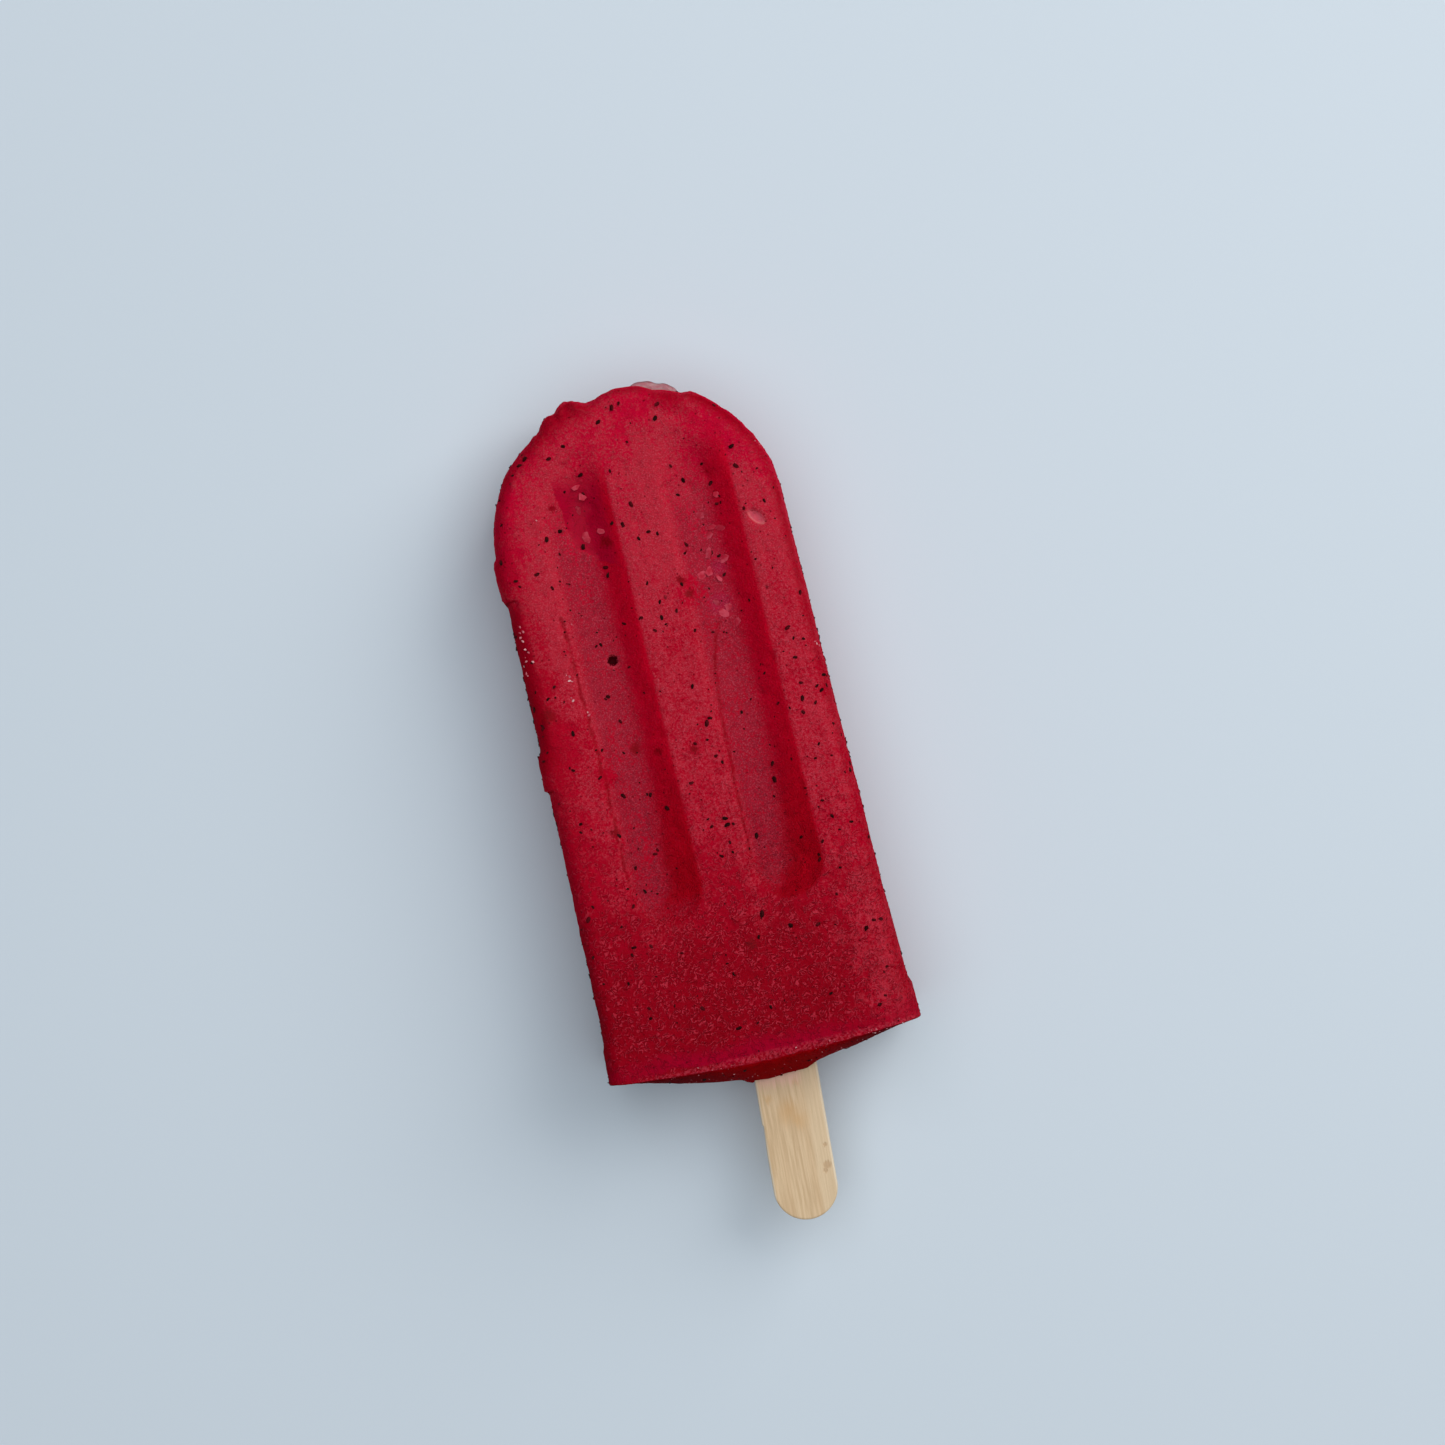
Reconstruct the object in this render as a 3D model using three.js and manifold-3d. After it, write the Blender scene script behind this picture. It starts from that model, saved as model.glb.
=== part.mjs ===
// An ice pop: a slab of frozen berry puree with a round tip and two flutes in each face, on a flat
// wooden stick.
//
// Millimetres. The pop lies on its back face: +Y runs from the stick to the round tip, +X is to the right
// of the pop seen from above, +Z is up. The origin is on the table, under the middle of the whole length.
import * as THREE from "three";
import { mergeVertices } from "three/addons/utils/BufferGeometryUtils.js";
import Module from "manifold-3d";

// ---- Driving dimensions ----

// The slab, as its mould gives it.
const ICE_LENGTH = 104.2; // from the corners of the base to the top of the round tip
const TIP_RADIUS = 22.6; // the tip is a half circle seen from above
const BASE_HALF_WIDTH = 24.05; // the sides open a little towards the base
const OPENING_POWER = 1.5; // and open faster the nearer it
const TIP_THICKNESS = 21.5; // where the half circle starts
const BASE_THICKNESS = 24.5;
const EDGE_RADIUS = 3; // rounding between each face and the sides
const ROUNDING_START = 0.15; // a face stays flat until its rounding has fallen this far
const SIDE_CROWN = 0.3; // how far a side bows out at half height

// The mould's rim prints a lip round the base.
const LIP_LENGTH = 6;
const LIP_RISE = 0.3;
const LIP_RAMP = 1.2;

// Two flutes in each face. Each ends in a round above the base and grows shallow towards the tip's outline.
const FLUTE_OFFSET = 9.5; // from the middle of the pair to the middle of a flute
const FLUTE_SHIFT = 0.85; // how far the pair lies to the right of the slab's middle
const FLUTE_WIDTH = 10.5;
const FLUTE_WALL = 5; // how wide each curved wall is, seen from above
const FLUTE_DEPTH = 2.4;
const FLUTE_FROM_BASE = 22; // from the base to the flute's round end
const FLUTE_HEAD = 5; // from the tip's outline to where they start
const FLUTE_FADE = 13; // length over which they then grow to their depth

// The open end swells round the stick as the puree freezes.
const BASE_BOW = 1.2; // how far the faces' edges bow out
const SWELL = 3.8; // how far the middle stands out of those edges

// Flat wooden stick, frozen in a little crooked.
const STICK_LENGTH = 114;
const STICK_WIDTH = 10;
const STICK_THICKNESS = 2;
const STICK_BEVEL = 0.25;
const STICK_SHOWS = 22.9; // how much of it stands out of the swell
const STICK_LEAN = THREE.MathUtils.degToRad(3.7); // seen from above
const STICK_END_X = 0.75; // where its free end lies, across the slab
const SLOT_GAP = 0.3; // clearance between the stick and the ice

// Where the edge stands out of the mould's outline, as puree ran over it and froze, or falls short of it,
// as it chipped or melted. On the left side places are along the slab, and round the tip they are bearings:
// degrees from the slab's right. ramps are the lengths over which each run rises, at from and at to.
const SIDE_OVERFLOWS = [
  { from: -6.6, to: 1.4, ramps: [0.8, 2.5], rise: 0.7 },
  { from: -36, to: -28.9, ramps: [0.8, 2.5], rise: 0.7 },
];
const TIP_FLASH = [
  { from: 102, to: 113, ramps: [6, 3.5], rise: 0.95 },
  { from: 112, to: 121, ramps: [3, 3], rise: 0.45 },
];
const TIP_SWELLS = [{ from: 10, to: 59, ramps: [12, 3], rise: 0.28 }];
const TIP_LOSSES = [
  { from: 59, to: 75, ramps: [2, 4], rise: 0.35 },
  { from: 88, to: 104, ramps: [9, 6], rise: 1.2 },
  { from: 119, to: 148, ramps: [5, 20], rise: 0.75 },
];
const EDGE_REACH = 4; // how far in over the face they shape it
const FLASH_SAG = 1.6; // how much lower the flash lies for each millimetre that it stands out

// Berry seeds that stand out of the top and the sides.
const SEED_COUNT = 56;
const SEED_RADII = [0.52, 0.4, 0.36];
const SEED_SIZE_SPREAD = 0.3; // each seed is up to this share larger or smaller
const SEED_SUNK = 0.1; // how far a seed's middle lies below the surface
const SEED_CLEAR_OF_EDGE = 1.5;
const SEED_SPACING = 4.2; // least distance between two seeds
const SEED_DRAW = 20231;

// How finely the surface is cut.
const CELLS_MID_RIDGE = 4;
const CELLS_FLUTE = 8;
const CELLS_SIDE_RIDGE = 3;
const CELLS_ROUNDING = 3;
const CELLS_STRAIGHT = 32;
const CELLS_TIP = 14;
const CELLS_UP = 6;
const CURVE_SEGMENTS = 14;

// ---- Worked out from them ----

const PAST_BASE = BASE_BOW + SWELL + STICK_SHOWS;
const WHOLE_LENGTH = SIDE_CROWN + ICE_LENGTH + PAST_BASE;
const TIP_CENTRE_Y = WHOLE_LENGTH / 2 - SIDE_CROWN - TIP_RADIUS;
const STRAIGHT_LENGTH = ICE_LENGTH - TIP_RADIUS;
const FLUTE_END_S = FLUTE_FROM_BASE + FLUTE_WIDTH / 2 - STRAIGHT_LENGTH;

const wasm = await Module();
wasm.setup();

const { clamp, lerp, radToDeg, smoothstep } = THREE.MathUtils;

// ---- The slab's form ----
// s runs along the slab from the middle of the tip's half circle, and is negative towards the base.

// Share of the way from the tip's centre line to the base, from 0 to 1.
const towardsBase = (s) => clamp(-s / STRAIGHT_LENGTH, 0, 1);

// The lip's rise at s.
const lipRise = (s) =>
  LIP_RISE * smoothstep(LIP_LENGTH - (s + STRAIGHT_LENGTH), 0, LIP_RAMP);

const halfWidth = (s) =>
  lerp(TIP_RADIUS, BASE_HALF_WIDTH, towardsBase(s) ** OPENING_POWER) +
  lipRise(s);

const halfThickness = (s) =>
  lerp(TIP_THICKNESS, BASE_THICKNESS, towardsBase(s)) / 2;

// Height of the middle plane above the table. The back face lies flat, so it rises towards the base.
const middle = (s) => halfThickness(s);

// Distance from a plan point in to the outline.
const edgeDistance = (x, s) =>
  s > 0 ? TIP_RADIUS - Math.hypot(x, s) : halfWidth(s) - Math.abs(x);

// How deep the flutes are cut at a plan point: a sharp shoulder, then a wall that curves into the floor.
function fluteDepth(x, s) {
  const past = Math.max(0, FLUTE_END_S - s);
  const fromMiddle = Math.hypot(Math.abs(x - FLUTE_SHIFT) - FLUTE_OFFSET, past);
  const down = clamp((FLUTE_WIDTH / 2 - fromMiddle) / FLUTE_WALL, 0, 1);
  const toTip = Math.sqrt(Math.max(0, TIP_RADIUS ** 2 - x * x)) - s;
  const fade = smoothstep(toTip - FLUTE_HEAD, 0, FLUTE_FADE);
  return FLUTE_DEPTH * fade * (1 - (1 - down) ** 2);
}

// Height of either face above the middle plane.
function faceHeight(x, s) {
  const inset = clamp(EDGE_RADIUS - edgeDistance(x, s), 0, EDGE_RADIUS);
  const rounding = EDGE_RADIUS - Math.sqrt(EDGE_RADIUS ** 2 - inset ** 2);
  const fallen = rounding > ROUNDING_START ? rounding : 0;
  return halfThickness(s) - Math.max(fallen, fluteDepth(x, s));
}

// Plan point of the grid lines a, from -1 to 1 across, and s. Along the sides the lines keep to the flutes,
// and round the tip they bend to meet the half circle.
function planPoint(a, s) {
  if (s <= 0) {
    const outside = smoothstep(Math.abs(a), 1 - EDGE_RADIUS / TIP_RADIUS, 1);
    const opening = Math.sign(a) * (halfWidth(s) - TIP_RADIUS);
    return [a * TIP_RADIUS + outside * opening, s];
  }
  const v = s / TIP_RADIUS;
  return [
    a * TIP_RADIUS * Math.sqrt(1 - (v * v) / 2),
    s * Math.sqrt(1 - (a * a) / 2),
  ];
}

const bearing = (x, s) => (s > 0 ? radToDeg(Math.atan2(s, x)) : 0);

// How much the edge's runs shape a plan point: 1 on the outline, 0 well inside it.
const edgeShare = (x, s) => smoothstep(EDGE_REACH - edgeDistance(x, s), 0, EDGE_REACH);

// How far those runs stand out at a place.
const standsOut = (place, runs) =>
  runs
    .map(
      ({ from, to, ramps, rise }) =>
        rise * smoothstep(place - from, 0, ramps[0]) * smoothstep(to - place, 0, ramps[1]),
    )
    .reduce((sum, part) => sum + part);

const flashSag = (x, s) =>
  FLASH_SAG * edgeShare(x, s) * standsOut(bearing(x, s), TIP_FLASH);

// Place of one grid point on the surface. a runs across, s along, and up from the lower to the upper edge
// of the wall. What stands out lies on the wall's upper half, and what is lost is lost down to the table.
function placePoint(a, s, up) {
  let [x, y] = planPoint(a, s);
  const ahead = Math.max(y, 0);
  const round = Math.max(Math.hypot(x, ahead), 1);
  const tipGain = standsOut(bearing(x, y), [...TIP_FLASH, ...TIP_SWELLS]);
  const sideGain = x < 0 ? standsOut(y, SIDE_OVERFLOWS) : 0;
  const gain = (tipGain + sideGain) * smoothstep(up, -0.8, 0.2);
  const loss = standsOut(bearing(x, y), TIP_LOSSES) * smoothstep(up, -1, -0.6);
  const onSide = Math.abs(a) === 1 || s === TIP_RADIUS;
  const rise = edgeShare(x, y) * (gain - loss) + (onSide ? SIDE_CROWN * (1 - up * up) : 0);
  const z = middle(s) + up * faceHeight(x, y) - Math.max(up, 0) * flashSag(x, y);
  x += (rise * x) / round;
  y += (rise * ahead) / round;
  if (s === -STRAIGHT_LENGTH) y -= baseRise(a, up);
  return [x, TIP_CENTRE_Y + y, z];
}

// How far the open end stands out beyond its corners.
const baseRise = (a, up) =>
  (1 - a * a) * (BASE_BOW + SWELL * (1 - up * up) ** 0.8);

// The grid lines on one side of the middle, as shares of the half width: they lie along the flute's
// shoulders and are close together over the rounding. side is -1 on the left and 1 on the right.
function linesOnSide(side) {
  const centre = FLUTE_OFFSET + side * FLUTE_SHIFT;
  const inner = centre - FLUTE_WIDTH / 2;
  const outer = centre + FLUTE_WIDTH / 2;
  const flat = TIP_RADIUS - EDGE_RADIUS;
  const steps = (cells, place) =>
    Array.from({ length: cells }, (_, i) => place((i + 1) / cells));
  return [
    ...steps(CELLS_MID_RIDGE / 2, (t) => inner * t),
    ...steps(CELLS_FLUTE, (t) => lerp(inner, outer, t)),
    ...steps(CELLS_SIDE_RIDGE, (t) => lerp(outer, flat, t)),
    ...steps(CELLS_ROUNDING, (t) => flat + EDGE_RADIUS * Math.sin((t * Math.PI) / 2)),
  ].map((x) => (side * x) / TIP_RADIUS);
}

const linesAcross = () => [...linesOnSide(-1).reverse(), 0, ...linesOnSide(1)];

// The stations along the slab: even along the sides, close together at the tip's edge.
function stationsAlong() {
  const straight = Array.from(
    { length: CELLS_STRAIGHT },
    (_, i) => -STRAIGHT_LENGTH * (1 - i / CELLS_STRAIGHT),
  );
  const tip = Array.from({ length: CELLS_TIP + 1 }, (_, i) => {
    const t = i / CELLS_TIP;
    return t === 1
      ? TIP_RADIUS
      : TIP_RADIUS * (0.25 * t + 0.75 * Math.sin((t * Math.PI) / 2));
  });
  return [...straight, ...tip];
}

// A closed skin of quads with the layout of a box: grid lines across, along and up, on the outside only.
function boxSkin(across, along, up, place) {
  const positions = [];
  const index = [];
  const known = new Map();
  const vertex = (i, j, k) => {
    const key = `${i},${j},${k}`;
    if (!known.has(key)) {
      known.set(key, positions.length / 3);
      positions.push(...place(across[i], along[j], up[k]));
    }
    return known.get(key);
  };
  const quad = (p, q, r, t) => {
    const [a, b, c, d] = [p, q, r, t].map((corner) => vertex(...corner));
    index.push(a, b, c, a, c, d);
  };
  const [ni, nj, nk] = [across, along, up].map((lines) => lines.length - 1);
  for (let i = 0; i < ni; i++)
    for (let j = 0; j < nj; j++) {
      quad([i, j, nk], [i + 1, j, nk], [i + 1, j + 1, nk], [i, j + 1, nk]);
      quad([i, j, 0], [i, j + 1, 0], [i + 1, j + 1, 0], [i + 1, j, 0]);
    }
  for (let k = 0; k < nk; k++) {
    for (let j = 0; j < nj; j++) {
      quad([0, j, k], [0, j, k + 1], [0, j + 1, k + 1], [0, j + 1, k]);
      quad([ni, j, k], [ni, j + 1, k], [ni, j + 1, k + 1], [ni, j, k + 1]);
    }
    for (let i = 0; i < ni; i++) {
      quad([i, 0, k], [i + 1, 0, k], [i + 1, 0, k + 1], [i, 0, k + 1]);
      quad([i, nj, k], [i, nj, k + 1], [i + 1, nj, k + 1], [i + 1, nj, k]);
    }
  }
  return new THREE.BufferGeometry()
    .setAttribute("position", new THREE.Float32BufferAttribute(positions, 3))
    .setIndex(index);
}

function slabGeometry() {
  const up = Array.from(
    { length: CELLS_UP + 1 },
    (_, i) => (2 * i) / CELLS_UP - 1,
  );
  return boxSkin(linesAcross(), stationsAlong(), up, placePoint);
}

// ---- The stick ----

// A flat stick with two round ends, swollen by grow on every side. It runs along +Y from its free end,
// which is at the origin.
function stickGeometry(grow) {
  const radius = STICK_WIDTH / 2 + grow;
  const outline = new THREE.Shape()
    .absarc(0, STICK_LENGTH - STICK_WIDTH / 2, radius - STICK_BEVEL, 0, Math.PI)
    .absarc(0, STICK_WIDTH / 2, radius - STICK_BEVEL, Math.PI, 2 * Math.PI);
  const depth = STICK_THICKNESS + 2 * grow - 2 * STICK_BEVEL;
  return new THREE.ExtrudeGeometry(outline, {
    depth,
    bevelSize: STICK_BEVEL,
    bevelThickness: STICK_BEVEL,
    bevelSegments: 1,
    curveSegments: CURVE_SEGMENTS,
  }).translate(0, 0, -depth / 2);
}

// Turns and moves an object to where the stick lies: in the slab's middle plane, which climbs towards the
// free end.
function layAsStick(object) {
  const climb = Math.atan(
    (BASE_THICKNESS - TIP_THICKNESS) / 2 / STRAIGHT_LENGTH,
  );
  object.rotation.set(-climb, 0, -STICK_LEAN, "XYZ");
  object.position.set(
    STICK_END_X,
    -WHOLE_LENGTH / 2,
    BASE_THICKNESS / 2 + PAST_BASE * Math.tan(climb),
  );
  object.updateMatrix();
  return object;
}

// ---- Seeds ----

// Evenly drawn numbers from 0 to 1, the same on every run.
function seededDraw(state) {
  return () => {
    state = (state * 1664525 + 1013904223) % 4294967296;
    return state / 4294967296;
  };
}

// Seed-shaped solids laid on the top face, spread evenly by keeping each clear of those before it.
function seedGeometries() {
  const draw = seededDraw(SEED_DRAW);
  const places = [];
  const seeds = [];
  while (seeds.length < SEED_COUNT) {
    const x = (2 * draw() - 1) * BASE_HALF_WIDTH;
    const s = lerp(-STRAIGHT_LENGTH, TIP_RADIUS, draw());
    const clear = places.every((p) => Math.hypot(p[0] - x, p[1] - s) > SEED_SPACING);
    const inside = edgeDistance(x, s) > SEED_CLEAR_OF_EDGE;
    if (!clear || !inside || s < SEED_CLEAR_OF_EDGE - STRAIGHT_LENGTH) continue;
    places.push([x, s]);
    const size = 1 + SEED_SIZE_SPREAD * (2 * draw() - 1);
    const seed = new THREE.IcosahedronGeometry(1, 0)
      .scale(...SEED_RADII.map((radius) => radius * size))
      .rotateZ(draw() * Math.PI)
      .translate(x, TIP_CENTRE_Y + s, middle(s) + faceHeight(x, s) - flashSag(x, s) - SEED_SUNK);
    seeds.push(seed);
  }
  return seeds;
}

// ---- Solids ----

function toSolid(geometry) {
  const bare = geometry.clone();
  bare.deleteAttribute("normal");
  bare.deleteAttribute("uv");
  const merged = mergeVertices(bare, 1e-4);
  return new wasm.Manifold(
    new wasm.Mesh({
      numProp: 3,
      vertProperties: new Float32Array(merged.attributes.position.array),
      triVerts: new Uint32Array(merged.index.array),
    }),
  );
}

function toGeometry(solid) {
  const { vertProperties, triVerts } = solid.getMesh();
  const geometry = new THREE.BufferGeometry()
    .setAttribute("position", new THREE.BufferAttribute(vertProperties, 3))
    .setIndex(new THREE.BufferAttribute(triVerts, 1));
  geometry.computeVertexNormals();
  return geometry;
}

// The frozen slab with its seeds, and the slot that the stick froze into.
function makeIce() {
  const slot = layAsStick(new THREE.Object3D());
  const slotSolid = toSolid(stickGeometry(SLOT_GAP).applyMatrix4(slot.matrix));
  const withSeeds = seedGeometries()
    .map(toSolid)
    .reduce((sum, seed) => sum.add(seed), toSolid(slabGeometry()));
  const ice = new THREE.Mesh(
    toGeometry(withSeeds.subtract(slotSolid)),
    new THREE.MeshStandardMaterial({ color: 0x9c1428, roughness: 0.45, metalness: 0 }),
  );
  ice.name = "ice";
  return ice;
}

function makeStick() {
  const stick = new THREE.Mesh(
    stickGeometry(0),
    new THREE.MeshStandardMaterial({ color: 0xd0b48c, roughness: 0.8, metalness: 0 }),
  );
  stick.name = "stick";
  return layAsStick(stick);
}

const icePop = new THREE.Group();
icePop.add(makeIce(), makeStick());

export default icePop;
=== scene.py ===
import math

import bmesh
import bpy
from mathutils import Euler, Matrix, Vector


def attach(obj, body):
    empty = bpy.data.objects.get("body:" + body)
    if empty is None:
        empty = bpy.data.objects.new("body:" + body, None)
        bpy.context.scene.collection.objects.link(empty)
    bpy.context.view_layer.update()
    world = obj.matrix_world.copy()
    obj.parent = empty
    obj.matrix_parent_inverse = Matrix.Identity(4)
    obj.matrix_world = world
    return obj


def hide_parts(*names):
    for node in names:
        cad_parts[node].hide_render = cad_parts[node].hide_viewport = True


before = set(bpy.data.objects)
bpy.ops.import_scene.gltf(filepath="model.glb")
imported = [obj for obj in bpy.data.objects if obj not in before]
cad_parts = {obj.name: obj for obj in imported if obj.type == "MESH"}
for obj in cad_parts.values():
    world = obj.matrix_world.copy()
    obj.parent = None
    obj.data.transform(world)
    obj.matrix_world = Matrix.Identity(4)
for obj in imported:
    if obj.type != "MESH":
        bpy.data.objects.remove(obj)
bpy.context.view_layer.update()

# ---- Floor, lights and camera ----
# The pop lies on a plain pale table under a wide, soft sky, with a brighter softbox low over its right
# shoulder. The camera looks straight down, and the pop lies a little turned in its picture.

TURN = math.radians(-13.5)
CAMERA_AT = (0.00535, 0.0117, 0.5)
POP_HALF_HEIGHT = 0.0122
SHOWN_WIDTH = 0.224  # of the scene, at the pop's half height
SENSOR = 36.0
ROOM_COLOUR, ROOM_STRENGTH = (0.8, 0.9, 1.0), 0.12
FLOOR_REACH = 3.0
FLOOR_COLOUR = (0.60, 0.66, 0.72)

camera = bpy.data.objects.new("camera", bpy.data.cameras.new("camera"))
camera.location = CAMERA_AT
camera.rotation_euler = (0, 0, TURN)
camera.data.sensor_width = SENSOR
camera.data.lens = SENSOR * (CAMERA_AT[2] - POP_HALF_HEIGHT) / SHOWN_WIDTH
bpy.context.scene.collection.objects.link(camera)
bpy.context.scene.camera = camera
bpy.context.scene.view_settings.view_transform = "Standard"


def softbox(name, place, size, watts, colour):
    """A square light at place, turned to the pop."""
    light = bpy.data.objects.new(name, bpy.data.lights.new(name, "AREA"))
    light.data.size = size
    light.data.energy = watts
    light.data.color = colour
    light.location = place
    light.rotation_euler = Vector(place).to_track_quat("Z", "Y").to_euler()
    bpy.context.scene.collection.objects.link(light)


softbox("sky", place=(0.05, 0.1, 1.3), size=1.6, watts=14.5, colour=(0.9, 0.96, 1.0))
softbox("key", place=(0.74, 0.45, 0.68), size=0.85, watts=7.4, colour=(1.0, 0.98, 0.95))

world = bpy.data.worlds.new("room")
world.use_nodes = True
room = world.node_tree.nodes["Background"]
room.inputs["Color"].default_value = (*ROOM_COLOUR, 1)
room.inputs["Strength"].default_value = ROOM_STRENGTH
bpy.context.scene.world = world


class Wire:
    """One output of a node tree. Arithmetic on it adds Math nodes to the tree."""

    def __init__(self, socket):
        self.socket = socket

    @staticmethod
    def add(tree, kind, settings=None, inputs=None):
        """Adds a node: its settings first, then the values or links of its sockets."""
        node = tree.nodes.new(kind)
        for name, value in (settings or {}).items():
            if name == "stops":
                ramp = node.color_ramp.elements
                while len(ramp) < len(value):
                    ramp.new(0.5)
                for stop, (place, shade) in zip(ramp, value):
                    stop.position = place
                    stop.color = (*shade, 1) if isinstance(shade, tuple) else (shade,) * 3 + (1,)
            else:
                setattr(node, name, value)
        for name, value in (inputs or {}).items():
            socket = node.inputs[name]
            if isinstance(value, Wire):
                tree.links.new(value.socket, socket)
            elif isinstance(value, list):
                for wire in value:
                    tree.links.new(wire.socket, socket)
            elif isinstance(value, tuple) and socket.type == "RGBA":
                socket.default_value = (*value, 1)
            else:
                socket.default_value = value
        return Wire(next((o for o in node.outputs if o.enabled), None) if node.outputs else None)

    def of(self, name):
        """Another output of the same node."""
        return Wire(self.socket.node.outputs[name])

    def math(self, operation, *others, swapped=False):
        values = [self, *others][:: -1 if swapped else 1]
        tree = self.socket.id_data
        return Wire.add(tree, "ShaderNodeMath", {"operation": operation}, dict(enumerate(values)))

    def __add__(self, other):
        return self.math("ADD", other)

    def __radd__(self, other):
        return self.math("ADD", other)

    def __sub__(self, other):
        return self.math("SUBTRACT", other)

    def __rsub__(self, other):
        return self.math("SUBTRACT", other, swapped=True)

    def __mul__(self, other):
        return self.math("MULTIPLY", other)

    def __rmul__(self, other):
        return self.math("MULTIPLY", other)

    def __truediv__(self, other):
        return self.math("DIVIDE", other)

    def __pow__(self, other):
        return self.math("POWER", other)

    def __abs__(self):
        return self.math("ABSOLUTE")

    def __neg__(self):
        return self.math("MULTIPLY", -1.0)

    def least(self, other):
        return self.math("MINIMUM", other)

    def most(self, other):
        return self.math("MAXIMUM", other)

    def over(self, other):
        """1 where this is more than other, else 0."""
        return self.math("GREATER_THAN", other)

    def ease(self, start, end):
        """Climbs smoothly from 0 at start to 1 at end."""
        tree = self.socket.id_data
        settings = {"interpolation_type": "SMOOTHSTEP", "clamp": True}
        inputs = {"Value": self, "From Min": start, "From Max": end}
        return Wire.add(tree, "ShaderNodeMapRange", settings, inputs)

    def within(self, low, high, ramp_low, ramp_high):
        """1 between low and high, falling to 0 at each over its own ramp."""
        return (self - low).ease(0, ramp_low) * (high - self).ease(0, ramp_high)


floor_corners = [(FLOOR_REACH * x, FLOOR_REACH * y, 0) for x, y in ((-1, -1), (1, -1), (1, 1), (-1, 1))]
floor_mesh = bpy.data.meshes.new("table")
floor_mesh.from_pydata(floor_corners, [], [(0, 1, 2, 3)])
floor = bpy.data.objects.new("table", floor_mesh)
bpy.context.scene.collection.objects.link(floor)

floor_finish = bpy.data.materials.new("table_finish")
floor_finish.use_nodes = True
floor_shader = floor_finish.node_tree.nodes["Principled BSDF"]
floor_shader.inputs["Base Color"].default_value = (*FLOOR_COLOUR, 1)
floor_shader.inputs["Roughness"].default_value = 0.8
floor_mesh.materials.append(floor_finish)


# ---- The frozen slab ----
# Berry puree poured into a two-fluted mould and frozen: a round tip, sides that open towards the base, a lip
# printed by the mould's rim, runs of overflow on the left side and tip, and an end that swelled round the
# stick. All sizes here are in millimetres.

MM = 0.001

# Along the slab, "Flute end" is measured from the tip's centre, and "Tip centre" from the part's origin.
SLAB = {
    "Tip centre": 43.3,
    "Straight": 81.6,
    "Tip radius": 22.6,
    "Base half width": 24.05,
    "Tip half thickness": 10.75,
    "Base half thickness": 12.25,
    "Edge radius": 3.0,
    "Side crown": 0.3,
    "Lip length": 6.0,
    "Lip rise": 0.3,
    "Flute shift": 0.6,
    "Flute offset": 9.4,
    "Flute half width": 5.25,
    "Flute wall": 5.0,
    "Flute depth": 2.4,
    "Flute head": 5.0,
    "Flute fade": 13.0,
    "Flute end": -54.35,
    "Base bow": 1.2,
    "Base skew": 0.015,
    "Swell": 3.5,
    "Collar": 0.7,
}
CELLS = (132, 290, 24)  # across, along and up

# Where puree ran over the mould's left side and froze: (from, to, ramp at from, ramp at to, how far out).
SIDE_RUNS = [(-6.6, 1.4, 0.8, 2.5, 0.7), (-36.0, -28.9, 0.8, 2.5, 0.7)]
# How far the tip's edge stands out of the mould's round outline, as thin flash, or falls short of it, as it
# chipped and melted: (degrees from its right, millimetres).
TIP_EDGE = [
    (0, 0.0), (8, 0.0), (15, 0.3), (57, 0.2), (60, -0.5), (72, -0.85), (79, -0.35), (88, -0.5), (92, -0.85),
    (97, -1.4), (100, -1.25), (103, -0.4), (107, 0.6), (109, 0.55), (113.5, -0.4), (116.5, 0.1), (119, -0.1),
    (123, -0.85), (129, -0.92), (135, -0.6), (144, -0.15), (180, 0.0),
]
EDGE_SPAN = 2.5  # holds every value of the tip's edge, half on each side of 0
EDGE_REACH = 4.0  # how far in from the wall the edge's unevenness is felt
FLASH_FROM = 97  # degrees; the flash stands out from here on
LIP_RAMP = 1.2
FLUTE_WANDER = 1.1
BLEND = 0.25  # between the rounded edges and the flutes

# On the base end: the raised collar round the stick and the drip beside it, as x, z.
COLLAR_AT, DRIP_AT = (1.4, 12.2), (-3.6, 11.5)
DRIP_RISE = 0.5

# Marks in the top face, placed in the part's own frame: x, y, then radius. The creases are points of y, x.
TOP_FROM, TOP_TO = 14, 17  # heights between which the marks set in
BUBBLES = [(-8.75, 24.8, 0.95), (16.7, 30.1, 0.35), (1.3, 32.2, 0.35)]
CHIP, CHIP_HALVES, CHIP_TURN = (17.7, 41.0), (1.9, 0.95), math.radians(-52)
CREASE_WIDTH = 0.5
CREASE_LEFT = [(-11.5, -14.2), (0.0, -14.1), (16.0, -14.3), (26.0, -14.6), (33.5, -14.9)]
CREASE_RIGHT = [(-11.5, 4.85), (1.2, 5.0), (10.0, 5.4), (16.1, 5.7), (20.7, 6.4), (24.2, 7.2), (27.6, 8.8)]


def new_tree(name, sizes, geometry=False):
    """A Geometry Nodes tree with those named inputs, and a wire from each."""
    tree = bpy.data.node_groups.new(name, "GeometryNodeTree")
    if geometry:
        tree.interface.new_socket("Geometry", in_out="INPUT", socket_type="NodeSocketGeometry")
    for size, value in sizes.items():
        kind = "NodeSocketInt" if isinstance(value, int) else "NodeSocketFloat"
        tree.interface.new_socket(size, in_out="INPUT", socket_type=kind)
    tree.interface.new_socket("Geometry", in_out="OUTPUT", socket_type="NodeSocketGeometry")
    entry = tree.nodes.new("NodeGroupInput")
    return tree, {o.name: Wire(o) for o in entry.outputs if o.name}


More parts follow.
